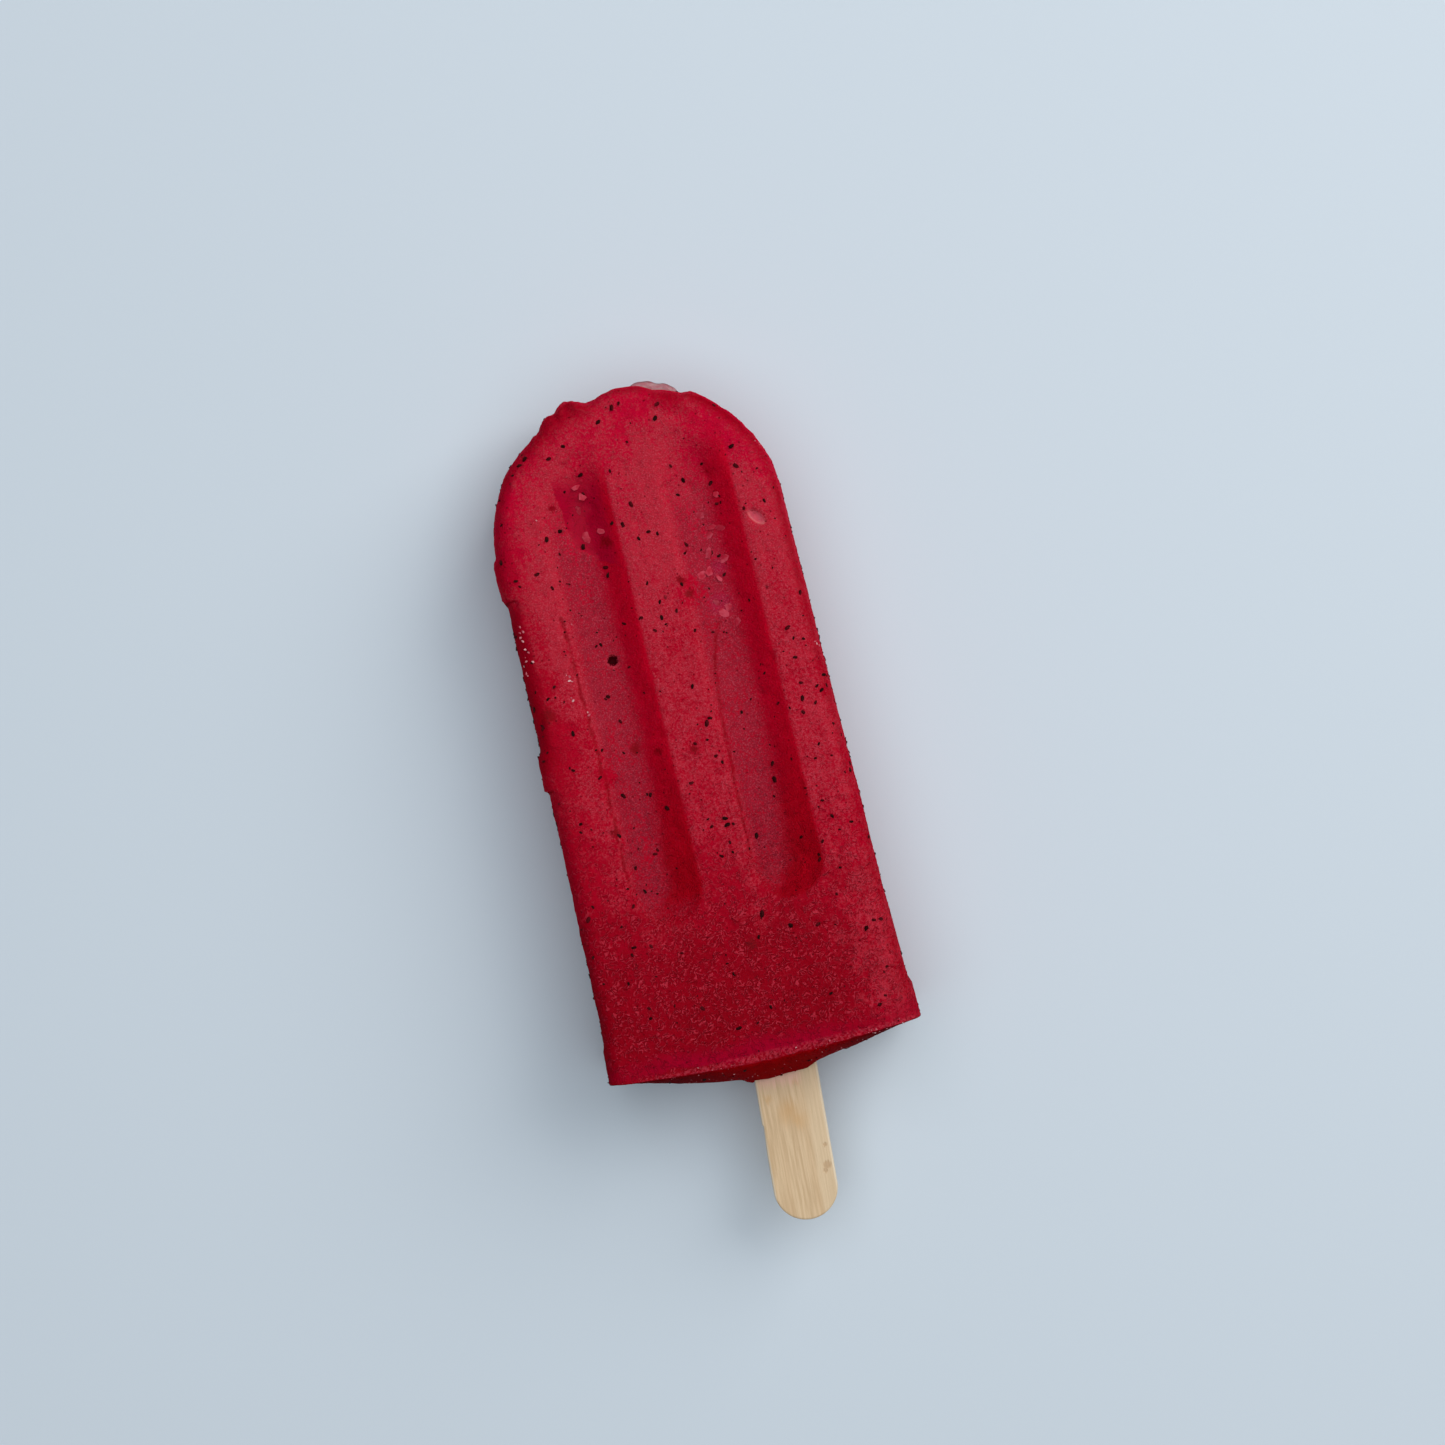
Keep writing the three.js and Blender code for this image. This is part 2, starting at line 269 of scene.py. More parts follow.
def grow(name, tree, sizes, geometry, finish, start=None):
    """Ends the tree, runs it on a new object with those sizes, and keeps the result as a plain mesh."""
    real = Wire.add(tree, "GeometryNodeRealizeInstances", {}, {"Geometry": geometry})
    done = Wire.add(tree, "GeometryNodeSetMaterial", {}, {"Geometry": real, "Material": finish})
    Wire.add(tree, "NodeGroupOutput", {}, {"Geometry": done})
    piece = bpy.data.objects.new(name, start.copy() if start else bpy.data.meshes.new(name))
    bpy.context.scene.collection.objects.link(piece)
    modifier = piece.modifiers.new(name, "NODES")
    modifier.node_group = tree
    for socket in tree.interface.items_tree:
        if socket.in_out == "INPUT" and socket.name in sizes:
            modifier[socket.identifier] = sizes[socket.name]
    evaluated = piece.evaluated_get(bpy.context.evaluated_depsgraph_get())
    mesh = bpy.data.meshes.new_from_object(evaluated)
    piece.modifiers.remove(modifier)
    piece.data = mesh
    mesh.name = name
    return piece


def noise(where, scale, detail=2.0, roughness=0.5, distortion=0.0):
    """Smooth random heights from about 0 to 1. Scale is in waves for each unit of where."""
    inputs = {"Vector": where, "Scale": scale, "Detail": detail, "Roughness": roughness}
    return Wire.add(where.socket.id_data, "ShaderNodeTexNoise", {}, {**inputs, "Distortion": distortion})


def cells(where, scale, feature="F1", **inputs):
    """Distance to the nearest of many scattered points."""
    values = {"Vector": where, "Scale": scale, **inputs}
    return Wire.add(where.socket.id_data, "ShaderNodeTexVoronoi", {"feature": feature}, values)


def split(vector):
    parts = Wire.add(vector.socket.id_data, "ShaderNodeSeparateXYZ", {}, {0: vector})
    return parts, parts.of("Y"), parts.of("Z")


def join(tree, x, y, z):
    return Wire.add(tree, "ShaderNodeCombineXYZ", {}, {0: x, 1: y, 2: z})


def length(x, y):
    return (x * x + y * y).math("SQRT")


def line_gap(x, y, points):
    """Distance across the slab from a line that runs along it through those (y, x) points."""
    low, high = points[0][0], points[-1][0]
    left = min(p[1] for p in points) - 0.5
    span = max(p[1] for p in points) + 0.5 - left
    return abs(x - profile(y, points, low, high, left, span))


def profile(place, points, low, high, least, span):
    """A line through (place, value) points, whose values are from least to least + span."""
    stops = [((p[0] - low) / (high - low), (p[1] - least) / span) for p in points]
    tree = place.socket.id_data
    ramp = Wire.add(tree, "ShaderNodeValToRGB", {"stops": stops}, {0: (place - low) / (high - low)})
    return ramp * span + least


def creases(x, y, where):
    """1 in the two hairline creases where the puree's skin folded along the flutes."""
    wobble = (noise(where, 0.4, 4, 0.7) - 0.5) * 1.8
    left = 1 - line_gap(x + wobble, y, CREASE_LEFT).ease(0, CREASE_WIDTH)
    left = left * y.within(CREASE_LEFT[0][0], CREASE_LEFT[-1][0], 4, 1)
    right = 1 - line_gap(x + wobble * 0.5, y, CREASE_RIGHT).ease(0, CREASE_WIDTH)
    return left + right * y.within(CREASE_RIGHT[0][0], CREASE_RIGHT[-1][0], 3, 1.2)


def broken_skin(x, y, where):
    """1 where the frosted skin broke away at the head of the left flute."""
    ragged = (noise(where, 0.6, 4, 0.7) - 0.5) * 2
    left = (x + 11.5 - (52 - y) * 0.12 + ragged * 0.8).ease(-0.12, 0.12)
    lower = (y - 42.2 + (x + 9.5) * 0.72 + ragged).ease(-0.12, 0.12)
    upper = 1 - (y + ragged * 2).ease(50.5, 55)
    return left * lower * upper * (1 - x.ease(-5.6, -3.6))


def chip(x, y):
    """1 in the oval dent where a flake came off the right ridge, falling to 0 at its rim."""
    right, ahead = x - CHIP[0], y - CHIP[1]
    along = right * math.cos(CHIP_TURN) + ahead * math.sin(CHIP_TURN)
    across = ahead * math.cos(CHIP_TURN) - right * math.sin(CHIP_TURN)
    return 1 - length(along / CHIP_HALVES[0], across / CHIP_HALVES[1]).ease(0.5, 1.0)


def bubbles(x, y, spread=1.0):
    """Depth of the round holes left by air, as a share of each one's radius."""
    depth = None
    for bubble_x, bubble_y, radius in BUBBLES:
        hole = 1 - length(x - bubble_x, y - bubble_y).ease(0.55 * radius, spread * radius)
        depth = hole * radius if depth is None else depth + hole * radius
    return depth


slab_tree, size = new_tree("slab", SLAB)
grid = {f"Vertices {axis}": count + 1 for axis, count in zip("XYZ", CELLS)}
cube = Wire.add(slab_tree, "GeometryNodeMeshCube", {}, {"Size": (2, 2, 2), **grid})
across, along, up = split(Wire.add(slab_tree, "GeometryNodeInputPosition"))

# The grid's lines are spread evenly over the flat middle and round the edges.
radius, edge = size["Tip radius"], size["Edge radius"]
flat = radius - edge
half_arc = flat + edge * (math.pi / 2)


def spread(way):
    """How far out a grid line lies, so far along the flat and then round the edge's arc."""
    return way.least(flat) + edge * ((way - flat) / edge).most(0).least(math.pi / 2).math("SINE")


side = across.math("SIGN")
line_x = side * spread(abs(across) * half_arc)
line_y = spread((along + 1) * 0.5 * (size["Straight"] + half_arc) - size["Straight"])
tip_y, straight_y = line_y.most(0), line_y.least(0)
towards_base = (-straight_y / size["Straight"]).most(0).least(1)
lip = size["Lip rise"] * (size["Lip length"] - straight_y - size["Straight"]).ease(0, LIP_RAMP)
half_width = radius + (size["Base half width"] - radius) * towards_base**1.5 + lip
opening = side * (half_width - radius) * abs(line_x).ease(flat, radius)
x = line_x * (1 - (tip_y / radius) ** 2 * 0.5).math("SQRT") + opening
y = tip_y * (1 - (line_x / radius) ** 2 * 0.5).math("SQRT") + straight_y

# Faces: rounded edges, and flutes with curved walls.
tip_part = y.most(0)
round_trip = length(x, tip_part)
edge_gap = half_width - round_trip
inset = (edge - edge_gap).most(0).least(edge)
rounding = edge - (edge * edge - inset * inset).most(0).math("SQRT")
past = (size["Flute end"] - y).most(0)
wander = (noise(join(slab_tree, x, y, 0), 0.14, 3) - 0.5) * FLUTE_WANDER
flute_x = abs(x - size["Flute shift"]) - size["Flute offset"]
from_middle = length(flute_x + wander, past)
down = (size["Flute half width"] - from_middle) / size["Flute wall"]
softness = 0.22 + 0.2 * (y + size["Tip centre"]).ease(-5, 35)
down = down.math("SMOOTH_MAX", 0, softness).least(1)
to_tip = (radius * radius - x * x).most(0).math("SQRT") - y - size["Flute head"]
fade = to_tip.ease(0, size["Flute fade"])
flute = size["Flute depth"] * fade * (1 - (1 - down) ** 2)
thickening = size["Base half thickness"] - size["Tip half thickness"]
half_thickness = size["Tip half thickness"] + towards_base * thickening
face_height = half_thickness - rounding.math("SMOOTH_MAX", flute, BLEND)

# Walls: a slight crown, the uneven edge, and the swollen end.
on_wall = abs(across).most(along).over(0.9999)
reach = (EDGE_REACH - edge_gap).ease(0, EDGE_REACH)
bearing = tip_part.math("ARCTAN2", x) * (180 / math.pi) * y.over(0)


def stretches(place, runs):
    """How far out those runs stand at a place."""
    rises = [place.within(*limits) * rise for *limits, rise in runs]
    return sum(rises[1:], rises[0])


tip_edge = profile(bearing, TIP_EDGE, 0, 180, -EDGE_SPAN / 2, EDGE_SPAN)
raggedness = 0.25 + 0.8 * bearing.within(FLASH_FROM, 135, 4, 10)
ragged = (noise(join(slab_tree, x, y, up * 5), 0.9, 3, 0.7) - 0.5) * raggedness
flash = tip_edge.most(0) * bearing.over(FLASH_FROM)
stray = (noise(join(slab_tree, x, y, up * 4), 0.4, 2) - 0.5) * 3
overflow = stretches(y + stray, SIDE_RUNS) * (1 - x.over(0)) * (up + stray * 0.3).ease(-0.1, 0.4)
gains = flash * (up + stray * 0.2).ease(-0.4, 0.3) + overflow
edge_rise = reach * (gains + (tip_edge - flash + ragged) * up.ease(-1, -0.4))
rise = on_wall * size["Side crown"] * (1 - up * up) + edge_rise
x_out = x + rise * x / round_trip.most(1)
y_out = y + rise * tip_part / round_trip.most(1)
z = half_thickness + up * face_height - up.most(0) * reach * flash * 1.6
off_centre = x / half_width
crown = 1 - off_centre * off_centre
bow = size["Base bow"] * crown * (-y).ease(size["Straight"] - 8, size["Straight"])
drip = 1 - length(x - DRIP_AT[0], z - DRIP_AT[1]).ease(0.4, 1.9)
collar = (1 - abs(x - COLLAR_AT[0]).ease(4.0, 6.8)) * (1 - abs(z - COLLAR_AT[1]).ease(1.5, 6.5))
swell = size["Swell"] * crown**1.15 * (1 - up * up).most(0) ** 0.8
swell = swell + size["Collar"] * collar + drip * DRIP_RISE
skew = size["Base skew"] * x * (-y).ease(size["Straight"] - 30, size["Straight"])
y_out = y_out - bow - skew - swell * (-along).over(0.9999)
moulded = join(slab_tree, x_out, y_out + size["Tip centre"], z)
placed = Wire.add(slab_tree, "GeometryNodeSetPosition", {}, {"Geometry": cube, "Position": moulded})

# Relief: the surface only ever falls below the mould's, by melting, pits and marks.
where = Wire.add(slab_tree, "GeometryNodeInputPosition")
x, y, z = split(where)
pit_cells = cells(where, 0.33)
pit_size = split(pit_cells.of("Color"))[0]
pits = (1 - pit_cells.ease(0.06, 0.3)) * pit_size.ease(0.62, 0.9)
on_top = z.ease(TOP_FROM, TOP_TO)
broken_edge = broken_skin(x, y, where) * (1 - x.ease(-9.5, -5.5)) * (1 - y.ease(47, 53))
melted = noise(where, 0.07, 2).ease(0.3, 0.8) * 0.25
melted = melted + noise(where, 0.32, 3).ease(0.35, 0.8) * 0.22
melted = melted + noise(where, 1.1, 2) * 0.12
marks = creases(x, y, where) * 0.12 + broken_edge * 0.4
marks = marks + bubbles(x, y, 1.1) * 0.9 + chip(x, y) * 0.5
sunk = melted + pits * 0.28 + on_top * marks
normal = Wire.add(slab_tree, "GeometryNodeInputNormal")
inwards = Wire.add(slab_tree, "ShaderNodeVectorMath", {"operation": "SCALE"}, {0: normal, "Scale": -sunk})
worn = Wire.add(slab_tree, "GeometryNodeSetPosition", {}, {"Geometry": placed, "Offset": inwards})
smooth = Wire.add(slab_tree, "GeometryNodeSetShadeSmooth", {}, {"Geometry": worn})
in_metres = {"Geometry": smooth, "Scale": (MM, MM, MM)}
slab_geometry = Wire.add(slab_tree, "GeometryNodeTransform", {}, in_metres)

# Finish of the frozen puree: deep clear red where it is wet, a thin pale film of frost on what faces up, and
# worm-like strokes of frost towards the base. Places are x, y, then radius.
TIP_RED = (0.48, 0.0008, 0.024)  # clear puree at the tip
CLEAR_RED = (0.39, 0.0006, 0.014)  # further down
LOW_RED = (0.265, 0.0004, 0.007)  # at the base, and as painted shade along the edges
WALL_TOP_HIGHLIGHT_RED = (0.50, 0.0006, 0.015)  # painted light at the top of a flute's right wall
# painted light at the top of the wall, towards the base
LOW_WALL_TOP_HIGHLIGHT_RED = (0.40, 0.0005, 0.008)
FOOT_SHADE_RED = (0.37, 0.0006, 0.013)  # painted shade at the foot of the wall
# painted shade at the foot of the wall, towards the base
LOW_FOOT_SHADE_RED = (0.26, 0.0004, 0.006)
LIP_RED = (0.33, 0.0004, 0.018)
END_SHADE_RED = (0.29, 0.0002, 0.0015)  # the base end, round the stick, darkened as painted shade
END_SIDE_SHADE_RED = (0.12, 0.0002, 0.0015)  # and darker painted shade at its sides
FOLD_RED = (0.23, 0.0004, 0.005)
CHIP_RED = (0.55, 0.075, 0.11)
# painted highlight on the chip's rim, where it faces the light
CHIP_RIM_HIGHLIGHT = (0.70, 0.20, 0.20)
FROSTED_RED = (0.45, 0.020, 0.038)  # film of frost on the ridges
FLUTE_FROST = (0.30, 0.012, 0.028)  # and on the flutes' floors
LOW_FLUTE_FROST = (0.25, 0.009, 0.023)
FROST = (0.53, 0.050, 0.080)
STROKE_RED = (0.49, 0.028, 0.052)  # frost's strokes at the base
PALE = (0.58, 0.090, 0.125)
MAGENTA = (0.36, 0.008, 0.055)  # crushed berry skin
LUMP_RED = (0.19, 0.0004, 0.004)
SPECK_RED = (0.11, 0.0006, 0.004)
# painted shade in the air holes
HOLE_SHADE_RED = (0.035, 0.0005, 0.002)
THIN_FROST = [
    (12.8, 54.0, 5.5), (-5.0, 55.5, 4.0), (-21.0, 42.0, 3.0), (5.0, 32.0, 2.6), (-14.0, 8.0, 1.8),
    (1.5, 58.0, 4.5), (-18.0, 14.0, 4.0), (-19.0, 24.0, 2.2),
]
DARK_LUMPS = [
    (-20.3, 18.9, 1.5), (-8.47, 10.9, 1.1), (-5.05, 9.75, 0.8), (0.1, 8.8, 0.9), (-14.2, -0.6, 0.8),
    (1.7, -21.9, 1.0), (5.2, 32.0, 0.9), (4.3, 34.2, 0.9), (-5.4, 42.6, 1.1), (-12.1, 49.5, 0.6),
]
CRUSHED = [(9.2, 29.5, 2.4), (10.3, 35.0, 1.6)]
ICE_IOR = 1.31


def new_finish(name):
    """An empty material, its tree, and a wire of places in the part's frame, in millimetres."""
    finish = bpy.data.materials.new(name)
    finish.use_nodes = True
    tree = finish.node_tree
    tree.nodes.clear()
    place = Wire.add(tree, "ShaderNodeTexCoord").of("Object")
    scaled = {0: place, "Scale": 1 / MM}
    return finish, tree, Wire.add(tree, "ShaderNodeVectorMath", {"operation": "SCALE"}, scaled)


def mix(amount, first, second):
    """Blends two colours, or wires of colours."""
    tree = amount.socket.id_data
    settings = {"data_type": "RGBA", "clamp_factor": True}
    return Wire.add(tree, "ShaderNodeMix", settings, {0: amount, 6: first, 7: second})


def layered(colour, layers):
    """A colour with others over it: how much of each, then the colour."""
    for amount, shade in layers:
        colour = mix(amount, colour, shade)
    return colour


def coat(tree, colour, roughness, height, others):
    """Ends a material in one shader. Height is the fine relief, in millimetres."""
    relief = {"Height": height, "Distance": MM, "Strength": 1.0}
    bump = Wire.add(tree, "ShaderNodeBump", {}, relief)
    looks = {"Base Color": colour, "Roughness": roughness, "Normal": bump, **others}
    shader = Wire.add(tree, "ShaderNodeBsdfPrincipled", {}, looks)
    Wire.add(tree, "ShaderNodeOutputMaterial", {}, {"Surface": shader})


def lumps(x, y, places, core=0.6):
    """1 inside any of those round places, falling off from core, a share of the radius."""
    inside = None
    for lump_x, lump_y, radius in places:
        one = 1 - length(x - lump_x, y - lump_y).ease(core * radius, 1.2 * radius)
        inside = one if inside is None else inside.most(one)
    return inside


ice_finish, tree, where = new_finish("berry_ice")
x, y, z = split(where)
normal = Wire.add(tree, "ShaderNodeNewGeometry").of("Normal")
tilt_y, tilt_z = split(normal)[1:]
faces_up = abs(tilt_z).ease(0.3, 0.7)
on_top = z.ease(TOP_FROM, TOP_TO)
low_half = (-y).ease(-18, 12)  # these three climb from 0 to 1 towards the base
low_end = (-y).ease(0, 30)
wormy = (-y).ease(-16, 30)

# Clouds and drag say where frost lies, mottle, grain and pins how it breaks up. The swirl draws its strokes.
clouds = noise(where, 0.11, 3)
mottle = noise(where, 0.45, 4, 0.66)
grain = noise(where, 2.4, 2, 0.7)
pins = noise(where, 4.6, 1)
drag = noise(join(tree, x * 1.6, y * 0.16, z * 0.3), 1.0, 3)
vein = noise(where, 1.8, 1.3, 0.5, 1.3)
blotches = (0.55 - noise(where, 0.17, 2, 0.6)).ease(0, 0.14)
stroke_cut = noise(where, 1.0, 2).ease(0.40, 0.56)
speckle = grain.ease(0.36, 0.64)
swirl = (noise(where, 1.0, 1, 0.5, 0.9) * 27 + x * 4 - y * 5).math("SINE")
strokes = swirl.ease(0.3, 0.95) * stroke_cut
gaps = (-swirl).ease(0.3, 1.0) * stroke_cut
speck_cells = cells(where, 0.95)
speck_size = split(speck_cells.of("Color"))[0]
specks = (1 - speck_cells.ease(0.08, 0.2)) * speck_size.ease(0.4, 0.75)
drift = mottle - 0.5
wavy_x, wavy_y = x + drift * 2.5, y + (vein - 0.5) * 2
uneven_x, uneven_y = x + (grain - 0.5) * 0.9, y + (pins - 0.5) * 0.9

# The lip at the base, its rim, and the end past it.
lip = (-y + (clouds - 0.5) * 4 - 0.012 * x).within(34.4, 38.4, 3.0, 0.6) * (1 - (-tilt_y).ease(0.2, 0.4))
lip = lip * (1 - abs(x + 3).ease(8, 20) * 0.6)
rim = (-y).ease(37.9, 38.5)
end = (-tilt_y).ease(0.3, 0.6)

# The flutes: their floors, their right walls and their ends.
across_flutes = x - SLAB["Flute shift"]
flute_x = abs(across_flutes) - SLAB["Flute offset"]
past_end = (SLAB["Flute end"] + SLAB["Tip centre"] - y).most(0)
off_middle = length(flute_x, past_end)
towards_wall = flute_x * across_flutes.math("SIGN") + 0.7 * past_end + drift * 3 + 1.3 * low_half
in_flute = (1 - off_middle.ease(3.6, 5.6)) * (1 - y.ease(40, 56))
soft_end = 1 - 0.7 * past_end.ease(1, 5) * (-x).ease(0, 3)
right_wall = towards_wall.ease(0.0, 2.8) * (1 - off_middle.ease(5.1, 5.9)) * (1 - y.ease(50, 57)) * soft_end
wall = right_wall * faces_up * on_top
# Up the right wall: painted shade at its foot, painted light at its top.
lit = towards_wall.ease(1.5, 5.5) * (1 - 0.7 * past_end.ease(0, 4))
end_wall = (tilt_y + drift * 0.9).ease(0.10, 0.6) * y.within(-17.5, -12, 1, 3) * 0.8 * soft_end

# The edges: the tip's, the left side's and what turns down to the wall, darkened as painted shade.
from_tip = length(x, (y - SLAB["Tip centre"]).most(0))
tip_edge = from_tip.ease(15.5, 21.0) * y.ease(43, 50)
near_edge = (from_tip - (SLAB["Tip centre"] - y).most(0) * 0.018).ease(19.8, 22.4)
over_tip = from_tip.ease(17.5, 21) * y.ease(53, 60) * abs(x - 2).ease(2, 6) * (1 - x.ease(9, 14))
# The left side's edge: clear of frost and darkened as painted shade.
left_edge = (-x + drift * 3).ease(19.8, 21.4) * y.within(9, 38, 4, 4) * on_top
right_edge = x.within(15, 30, 5, 1) * y.within(8, 48, 4, 4)
# Painted shade where the tip and the sides turn down, and along the right edge.
edge_shade = near_edge * (0.64 + 0.36 * y.ease(48, 58) + 0.26 * right_edge)
edge_shade = edge_shade.most(over_tip * 0.75).most((-x).ease(17, 21) * (1 - 0.7 * wormy) * 0.4)

# Marks: broken skin, folds, air holes and their rings, dark lumps of berry and the chip.
bare = (on_top * broken_skin(x, y, where)).least(1)
fold = (on_top * creases(x, y, where) * (0.5 + 0.5 * mottle.ease(0.42, 0.56))).least(1)
hole = (on_top * bubbles(uneven_x, uneven_y, 1.0) * 1.6).least(1)
ring = (on_top * bubbles(uneven_x, uneven_y, 1.5) * 1.6).least(1) - hole
dark = on_top * lumps(wavy_x, wavy_y, DARK_LUMPS, 0.3)
dent = on_top * chip(x, y)
# Painted highlight on the lower-left rim of the chip, which faces the light.
lit_dent_rim = 4 * dent * (1 - dent) * (CHIP[0] + CHIP[1] - x - y).ease(-0.6, 0.8)

# Frost lies all over the flutes' floors, thickly on the ridges towards the tip, and in patches on them lower
# down. The flutes' right walls, their heads and ends and the tip's edge stay clear.
thin = lumps(wavy_x + drift * 5, y + drift * 7, THIN_FROST)
on_ridge = 0.60 + 0.20 * y.ease(14, 38) - 0.14 * low_half - 0.66 * low_end - 0.3 * (-x).ease(16.5, 20)
in_floor = 0.80 - 0.5 * low_end
# A painted highlight: a paler band down the middle ridge towards the tip.
crest_highlight = x.within(1.0, 5.0, 1.5, 1.2) * y.within(33, 61, 4, 4)
low_crest = x.within(2.0, 6.0, 1.5, 1.5) * y.within(-24, -3, 4, 4)
base_right = low_end * (x + drift * 12).ease(9, 23)
worn_left = (-x).ease(14, 17) * y.within(-13, 1, 4, 3)
share = on_ridge + in_flute * (in_floor - on_ridge)
share = share + (clouds - 0.5) * 0.8 + (drag - 0.5) * 0.6 - 0.4 * thin - 0.45 * tip_edge
share = share + 0.4 * crest_highlight + 0.85 * base_right + 0.3 * low_crest - 0.3 * worn_left
wet = bare.most(dark).most(lip).most(end).most(wall).most(end_wall).most(left_edge)
film = (drift + (speckle - 0.5) * 0.35 + share * 0.7).ease(0.08, 0.62) * (1 - wet)
film = film * (0.6 + 0.55 * speckle) * (0.6 + 0.4 * faces_up)
frosted = 1 - wet.most(thin * 0.6).most(0.6 * in_flute * (1 - low_end))
marked = (0.14 + 0.55 * wormy) * faces_up * (0.4 + 1.2 * mottle) * frosted
off_lip = 1 - lip

# The colours, from the puree's own up to what lies on top of all, painted light and shade among them: how
# much of each, then the colour.
body_red = mix(low_end * (1 - 0.6 * x.ease(11, 18)), mix(y.ease(22, 50), CLEAR_RED, TIP_RED), LOW_RED)
# The right walls' red is painted light at their top and painted shade at their foot.
wall_light_and_shade_red = mix(lit, mix(low_half, FOOT_SHADE_RED, LOW_FOOT_SHADE_RED), mix(low_half, WALL_TOP_HIGHLIGHT_RED, LOW_WALL_TOP_HIGHLIGHT_RED))
film_red = mix(in_flute, FROSTED_RED, mix(low_half, FLUTE_FROST, LOW_FLUTE_FROST))
ice_layers = [
    # the flutes' right walls, clear of frost, with painted light and shade
    (wall, wall_light_and_shade_red),
    (film, film_red),
    (blotches * wormy * 0.32, LUMP_RED),
    (on_top * lumps(wavy_x, wavy_y, CRUSHED, 0) * 0.45, MAGENTA),
    (gaps * marked * 0.55, LUMP_RED),
    (strokes * marked, mix(wormy, FROST, STROKE_RED)),
    (pins.ease(0.53, 0.66) * (0.05 + 0.25 * film.least(1)) * off_lip * (1 - 0.5 * wormy), PALE),
    ((1 - pins.ease(0.36, 0.48)) * (0.10 - 0.04 * wormy) * off_lip, LUMP_RED),
    ((grain - 0.56).ease(0, 0.08) * 0.12 * off_lip, LUMP_RED),
    # painted shade along the left side's edge
    (left_edge * 0.7, LOW_RED),
    # painted shade where the edges turn down
    (edge_shade * faces_up, LOW_RED),
    (dent * 0.8, CHIP_RED),
    # painted highlight on the chip's rim
    (lit_dent_rim * 0.42, CHIP_RIM_HIGHLIGHT),
    (lip.most(bare) * 0.8, LIP_RED),
    (rim * (1 - end) * grain.ease(0.42, 0.6) * 0.4, FROST),
    (fold * 0.8, FOLD_RED),
    (dark * 0.85, LUMP_RED),
    # the base end, darkened as painted shade, most at its sides
    (end * 0.9, mix(abs(x - 2).ease(3, 16), END_SHADE_RED, END_SIDE_SHADE_RED)),
    (specks * 0.75, SPECK_RED),
    (ring * 0.4, FROST),
    # painted shade in the air holes
    (hole, HOLE_SHADE_RED),
]
stroke_height = 0.03 + 0.04 * wormy
height = mottle * 0.20 + grain * 0.14 + pins * 0.03 + (strokes - gaps) * stroke_height - fold * 0.08
ice_looks = {
    "IOR": ICE_IOR,
    "Specular IOR Level": 0.0,
    "Coat Weight": 0.03 + 0.12 * bare + 0.1 * dark,
    "Coat IOR": ICE_IOR,
    "Coat Roughness": 0.3,
    "Subsurface Weight": 0.15,
    "Subsurface Radius": (1.0, 0.06, 0.1),
    "Subsurface Scale": 0.0008,
}
coat(tree, layered(body_red, ice_layers), 0.5 + 0.15 * film - 0.15 * bare, height, ice_looks)

slab = grow("berry_ice_slab", slab_tree, SLAB, slab_geometry, ice_finish)
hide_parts("ice")
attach(slab, "root")


# ---- Seeds ----
# Small hard berry seeds caught in the puree. Most lie in its skin, a few stand proud of it, and they gather
# in loose swarms. The largest have places of their own.

SEEDS = {
    "Per square metre": 150000.0,
    "Smallest": 0.13,
    "Largest": 0.34,
    "Placed smallest": 0.26,
    "Placed largest": 0.46,
    "Seed": 7,
}
SEED_DARK, SEED_LIGHT = (0.016, 0.002, 0.002), (0.085, 0.002, 0.005)
SEED_SQUASH = (1.15, 0.8, 0.55)
LUMP_TILT = 0.5  # radians, at most
LUMP_SEGMENTS, LUMP_RINGS = 7, 5
SEED_PLACES = [
    (-11.0, 56.9), (-8.5, 58.2), (-6.9, 53.5), (0.1, 62.3), (-2.4, 60.6), (6.2, 59.2), (7.0, 61.2),
    (6.8, 51.6), (8.1, 49.1), (16.5, 52.3), (16.5, 49.2), (12.1, 47.6), (12.4, 44.4), (-12.1, 45.8),
    (-14.2, 45.1), (-3.9, 45.2), (-2.4, 44.5), (-0.4, 47.2), (1.2, 42.6), (-9.1, 42.7), (-16.8, 40.2),
    (6.3, 39.4), (-6.4, 38.9), (-6.4, 37.6), (10.9, 33.6), (-1.4, 27.7), (4.5, 26.3), (-10.7, 27.5),
    (-9.9, 27.5), (21.4, 28.2), (-19.6, 21.3), (-10.8, 19.6), (18.3, 23.4), (-21.4, 17.1), (-17.1, 15.3),
    (-9.8, 15.5), (3.0, 12.2), (3.6, 12.8), (-7.9, 3.5), (-5.8, 0.9), (-11.9, 4.3), (11.3, 3.8),
    (11.0, 1.5), (14.3, 12.6), (18.0, 12.5), (18.4, 14.8), (20.6, 13.8), (-20.3, -10.9), (-21.4, -12.7),
    (-14.3, -12.2), (-15.6, -18.3), (-13.1, -18.7), (4.4, -17.8), (8.2, -20.6), (19.2, -23.7),
    (20.6, -22.7), (-15.6, -27.8), (-15.7, -29.3), (-7.6, -29.7), (18.6, -35.3), (-9.3, -5.4), (6.3, -6.2),
    (15.9, -9.3), (12.3, -21.4), (-3.0, -33.8), (2.4, -3.6), (3.4, -3.6), (2.4, -2.5), (-22.0, -18.4),
    (-14.6, 57.6), (-15.6, 56.9), (-21.7, 43.2),
]

